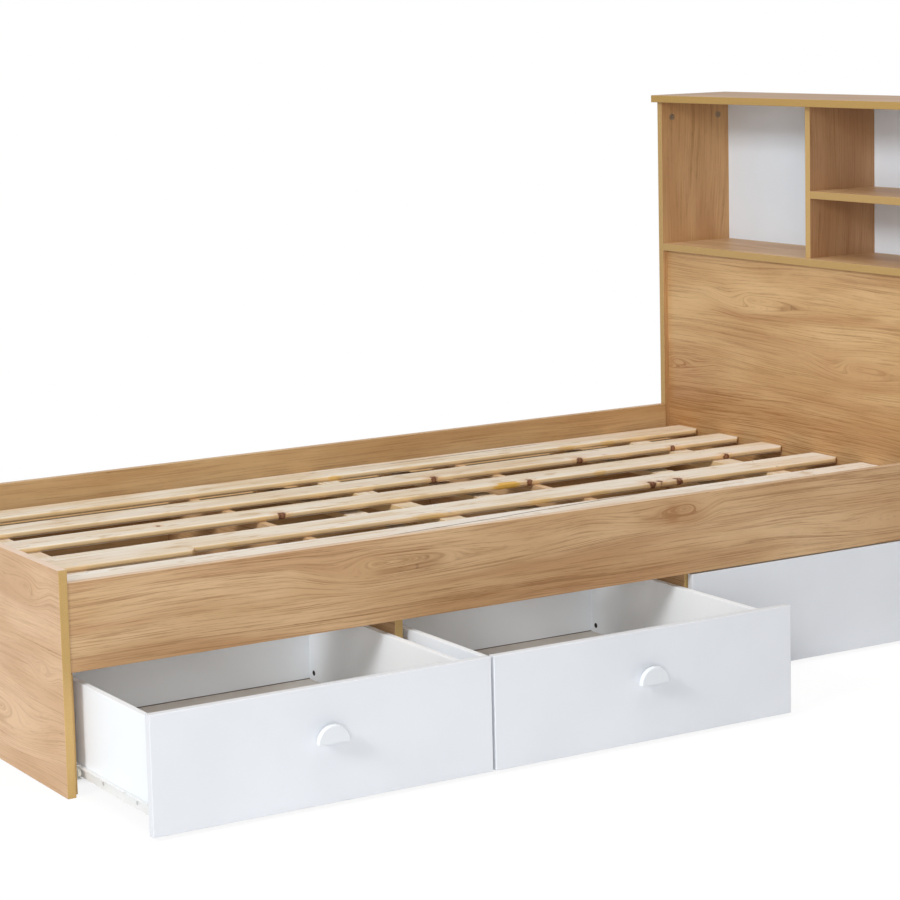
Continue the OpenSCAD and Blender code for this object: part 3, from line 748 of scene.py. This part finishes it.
class BED_OT_base(bpy.types.Operator):
    """Gives the slats, bearers, battens and cleats their pine"""

    bl_idname = "bed.base"
    bl_label = "Pine Base"

    def execute(self, context):
        for n in SLATS:
            low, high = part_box(f"slat_{n}")
            knots = [spot for spot in KNOTS if low.y - OVERHANG < spot[0][1] < high.y]
            resins = [spot for spot in RESINS if low.y - OVERHANG < spot[0][1] < high.y]
            cracks = [line for line in CRACKS if low.y < line[2] < high.y]
            shift = (0.37 * n, -(low.y + high.y) / 2, 0.11 * n)
            tint = (PALENESS[n - 1], PINE_PALE)
            slat = pine_material(f"pine_slat_{n}", X, Y, Z, shift, tint, knots, resins, cracks, low.z)
            dress(slat, f"slat_{n}")
        dress(pine_material("pine_bars", Y, X, Z), "slat_bearers", "tie_battens")
        # Cleats and front battens darkened as painted shade under the slats
        cleats = pine_material("pine_cleats", X, Z, Y, tint=(CLEAT_SHADE_TINT, PINE_CLEAT_SHADE))
        dress(cleats, "near_cleats", "far_cleats", "front_battens")
        return {"FINISHED"}


class BED_OT_drawers(bpy.types.Operator):
    """Gives the drawers, the fixed front and the back panel their white finishes"""

    bl_idname = "bed.drawers"
    bl_label = "White Drawers"

    def execute(self, context):
        finish = context.scene.bed_finish
        board = white_material("white_board", finish.white)
        box = white_material("white_box", finish.box, 0.34, 0.98)
        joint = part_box("drawer_1_base")[1].z + JOINT
        back = white_material("white_box_back", finish.box, 0.34, 0.98, joint=joint)
        base = white_material("drawer_base", finish.base, 0.55, 0.93)
        knob = white_material("white_knob", finish.knob_white, 0.30, 0.985, 0.04)
        for n in DRAWERS:
            dress(board, f"drawer_{n}_front")
            dress(box, f"drawer_{n}_left_side", f"drawer_{n}_right_side")
            dress(back, f"drawer_{n}_back")
            dress(base, f"drawer_{n}_base")
            dress(knob, f"drawer_{n}_knob")
        dress(board, "fixed_front")
        dress(white_material("white_back", finish.back, 0.5), "back_panel")
        return {"FINISHED"}


class BED_OT_runners(bpy.types.Operator):
    """Gives the runners, rollers, knob screws and cam locks their steel and nylon"""

    bl_idname = "bed.runners"
    bl_label = "Runners and Fixings"

    def execute(self, context):
        finish = context.scene.bed_finish
        coat = white_material("white_steel", finish.steel, 0.34, 0.97, 0.05)
        nylon = white_material("roller_nylon", finish.nylon, 0.42, 0.95, 0.05)
        zinc = metal_material("zinc", ZINC, 0.28)
        for n in DRAWERS:
            dress(coat, f"drawer_{n}_runners", f"cabinet_runners_{n}")
            dress(nylon, f"drawer_{n}_rollers", f"cabinet_rollers_{n}")
            dress(zinc, f"drawer_{n}_knob_screw")
        dress(metal_material("cam_zinc", CAM_ZINC, 0.4), "cam_fittings")
        return {"FINISHED"}


class BED_OT_screws(bpy.types.Operator):
    """Adds the flush screws of the runners and the screw cups inside the drawers' sides"""

    bl_idname = "bed.screws"
    bl_label = "Runner and Side Screws"

    def execute(self, context):
        fixings = context.scene.bed_fixings
        zinc = bpy.data.materials["zinc"]
        dark = metal_material("dark_steel", DARK_STEEL, 0.5)
        for n in DRAWERS:
            low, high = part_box(f"drawer_{n}_runners")
            bay_low, bay_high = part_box(f"cabinet_runners_{n}")
            webs = ((low.x + WEB_FACE, bay_low.x + STEEL, 1), (high.x - WEB_FACE, bay_high.x - STEEL, -1))
            height = (low.z + high.z) / 2
            head = flush_head(fixings.screw_head)
            moving, fixed = bmesh.new(), bmesh.new()
            for i in range(fixings.runner_screws):
                along = SCREW_END + i * (high.y - low.y - 2 * SCREW_END) / (fixings.runner_screws - 1)
                for wall, bay, sign in webs:
                    lathe(moving, head, (wall, low.y + along, height), (-sign, 0, 0), 16)
                    lathe(fixed, head, (bay, bay_low.y + along, height), (sign, 0, 0), 16)
            add_piece(f"drawer_{n}_runner_screws", finish_mesh(moving, "runner_screws"), zinc,
                      f"drawer_{n}")
            add_piece(f"bay_{n}_runner_screws", finish_mesh(fixed, "runner_screws"), zinc,
                      "frame")
            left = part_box(f"drawer_{n}_left_side")[1].x
            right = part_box(f"drawer_{n}_right_side")[0].x
            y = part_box(f"drawer_{n}_back")[0].y - CUP_FORWARD
            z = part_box(f"drawer_{n}_base")[1].z + CUP_UP
            cups = bmesh.new()
            for x, axis in ((left, X), (right, (-1, 0, 0))):
                lathe(cups, screw_cup(fixings.side_screw), (x, y, z), axis, 20)
            add_piece(f"drawer_{n}_side_screws", finish_mesh(cups, "side_screws"), dark,
                      f"drawer_{n}")
        return {"FINISHED"}


class BED_OT_nails(bpy.types.Operator):
    """Adds the heads of the nails that hold the slats to the bearers"""

    bl_idname = "bed.nails"
    bl_label = "Slat Nails"

    def execute(self, context):
        fixings = context.scene.bed_fixings
        zinc = bpy.data.materials["zinc"]
        low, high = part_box("slat_bearers")
        rows = [low.x + BEARER_HALF, (low.x + high.x) / 2, high.x - BEARER_HALF]
        bm = bmesh.new()
        for n in SLATS:
            slat_low, slat_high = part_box(f"slat_{n}")
            for row, x in enumerate(rows):
                for side, y in enumerate((slat_low.y + fixings.nail_inset, slat_high.y - fixings.nail_inset)):
                    drift = NAIL_DRIFT * math.sin(5.1 * n + 2.3 * row + 4.7 * side)
                    place = (x + drift, y - drift / 2, slat_high.z)
                    lathe(bm, nail_head(fixings.nail_head), place, Z, 12)
        add_piece("slat_nails", finish_mesh(bm, "slat_nails"), zinc, "frame")
        return {"FINISHED"}


class BED_OT_stage(bpy.types.Operator):
    """Sets up the floor, the lamps and the camera"""

    bl_idname = "bed.stage"
    bl_label = "Stage"

    def execute(self, context):
        stage = context.scene.bed_stage
        make_floor()
        make_world(stage.sky)
        add_lamp("key", stage.key, 2.6, (-8.0, -3.6, 5.6), (1.0, 0.0, 0.3))
        add_lamp("front", stage.front, 2.0, (-1.6, -4.6, 1.1), (0.6, 0.0, 0.2))
        add_lamp("top", stage.top, 3.5, (0.6, -0.8, 4.4), (1.0, -0.2, 0.0))
        add_lamp("back", stage.back, 1.0, (6.0, 5.0, 0.5), (1.2, 0.2, 0.5))
        make_camera()
        return {"FINISHED"}


# Stage


def mix_shaders(g, factor, first, second):
    """The first shader at a factor of 0 and the second at 1."""
    made = g.node("ShaderNodeMixShader")
    for socket, value in zip(made.inputs, (factor, first, second)):
        g.put(socket, value)
    return made.outputs[0]


def background_rays(g):
    """One where the background is seen, directly, in a reflection or through glass, and zero elsewhere."""
    path = g.node("ShaderNodeLightPath").outputs
    seen = g.math("MAXIMUM", path["Is Camera Ray"], path["Is Glossy Ray"])
    return g.math("MAXIMUM", seen, path["Is Transmission Ray"])


def make_floor():
    """A wide floor that looks white, keeps a faint shadow round the bed and a deep one under its slats."""
    bm = bmesh.new()
    bmesh.ops.create_grid(bm, x_segments=8, y_segments=8, size=60.0)
    mesh = bpy.data.meshes.new("floor")
    bm.to_mesh(mesh)
    bm.free()
    floor = bpy.data.objects.new("floor", mesh)
    floor.location = FLOOR_MIDDLE
    bpy.context.scene.collection.objects.link(floor)
    material = bpy.data.materials.new("floor")
    material.use_nodes = True
    g = Graph(material.node_tree)
    shader = material.node_tree.nodes["Principled BSDF"]
    shader.inputs["Base Color"].default_value = (0.80, 0.80, 0.80, 1.0)
    shader.inputs["Roughness"].default_value = 0.9
    shader.inputs["Specular IOR Level"].default_value = 0.0
    seen = background_rays(g)
    at = g.node("ShaderNodeTexCoord").outputs["Object"]
    x, y = g.split(at)[:2]
    long = g.step(g.math("ABSOLUTE", x), 0.96, 1.02, 1.0, 0.0)
    wide = g.math("MULTIPLY", g.step(y, -0.42, -0.32), g.step(y, 0.45, 0.47, 1.0, 0.0))
    under = g.math("MULTIPLY", long, wide)
    depth = g.math("ADD", SHADOW_DEPTH, g.math("MULTIPLY", under, UNDER_DEPTH - SHADOW_DEPTH))
    faint = g.node("ShaderNodeBsdfDiffuse")
    g.put(faint.inputs["Color"], g.combine(depth, depth, depth))
    lift = g.node("ShaderNodeEmission")
    g.put(lift.inputs["Strength"], g.math("SUBTRACT", FLOOR_LEVEL, depth))
    near = g.node("ShaderNodeAddShader")
    g.put(near.inputs[0], faint.outputs[0])
    g.put(near.inputs[1], lift.outputs[0])
    glow = g.node("ShaderNodeEmission").outputs[0]
    far = g.step(g.vector("LENGTH", at), *FLOOR_FADE)
    shown = mix_shaders(g, far, near.outputs[0], glow)
    blend = mix_shaders(g, seen, shader.outputs[0], shown)
    g.put(material.node_tree.nodes["Material Output"].inputs["Surface"], blend)
    mesh.materials.append(material)


def make_world(strength):
    """Even grey light on the object, and pure white where the background is seen."""
    world = bpy.data.worlds.new("surround")
    bpy.context.scene.world = world
    world.use_nodes = True
    g = Graph(world.node_tree)
    background = world.node_tree.nodes["Background"]
    background.inputs["Color"].default_value = (1.0, 1.0, 1.0, 1.0)
    lift = g.math("MULTIPLY", background_rays(g), 1.0 - strength)
    g.put(background.inputs["Strength"], g.math("ADD", strength, lift))


def add_lamp(name, power, size, place, target):
    """A square lamp at a place, turned towards a target."""
    data = bpy.data.lights.new(name, "AREA")
    data.energy = power
    data.shape = "SQUARE"
    data.size = size
    lamp = bpy.data.objects.new(name, data)
    lamp.location = place
    lamp.rotation_mode = "QUATERNION"
    lamp.rotation_quaternion = (Vector(target) - Vector(place)).to_track_quat("-Z", "Y")
    bpy.context.scene.collection.objects.link(lamp)


def make_camera():
    """The photograph's camera, low in front of the footboard's near corner."""
    right = Vector((0.863101, -0.504324, -0.026738))
    up = Vector((0.090568, 0.102479, 0.990604))
    ahead = Vector((0.496845, 0.857412, -0.134126))
    data = bpy.data.cameras.new("camera")
    data.lens = 106.41
    data.sensor_width = 36.0
    data.shift_x = 0.0778
    data.shift_y = -0.0956
    data.clip_end = 200.0
    camera = bpy.data.objects.new("camera", data)
    turn = Matrix((right, up, -ahead)).transposed()
    camera.matrix_world = Matrix.Translation((-1.68153, -4.43304, 1.28861)) @ turn.to_4x4()
    bpy.context.scene.collection.objects.link(camera)
    bpy.context.scene.camera = camera


class BED_PT_panel(bpy.types.Panel):
    """Lists the bed's steps"""

    bl_idname = "BED_PT_panel"
    bl_label = "Single Bed"
    bl_space_type = "VIEW_3D"
    bl_region_type = "UI"
    bl_category = "Bed"

    def draw(self, context):
        for operator in OPERATORS:
            self.layout.operator(operator.bl_idname, text=operator.bl_label)
        for group in (context.scene.bed_finish, context.scene.bed_fixings, context.scene.bed_stage):
            for name in group.bl_rna.properties.keys():
                if name not in ("rna_type", "name"):
                    self.layout.prop(group, name)


OPERATORS = (BED_OT_boards, BED_OT_base, BED_OT_drawers, BED_OT_runners, BED_OT_screws, BED_OT_nails,
             BED_OT_stage)
CLASSES = (BedFinish, BedFixings, BedStage, *OPERATORS, BED_PT_panel)


def register():
    for cls in CLASSES:
        bpy.utils.register_class(cls)
    bpy.types.Scene.bed_finish = PointerProperty(type=BedFinish)
    bpy.types.Scene.bed_fixings = PointerProperty(type=BedFixings)
    bpy.types.Scene.bed_stage = PointerProperty(type=BedStage)


def unregister():
    del bpy.types.Scene.bed_finish
    del bpy.types.Scene.bed_fixings
    del bpy.types.Scene.bed_stage
    for cls in reversed(CLASSES):
        bpy.utils.unregister_class(cls)


def main():
    """Runs the steps in order."""
    register()
    scene = bpy.context.scene
    scene.view_settings.view_transform = "Standard"
    bpy.ops.bed.boards()
    bpy.ops.bed.base()
    bpy.ops.bed.drawers()
    bpy.ops.bed.runners()
    bpy.ops.bed.screws()
    bpy.ops.bed.nails()
    bpy.ops.bed.stage()


if __name__ == "__main__":
    main()
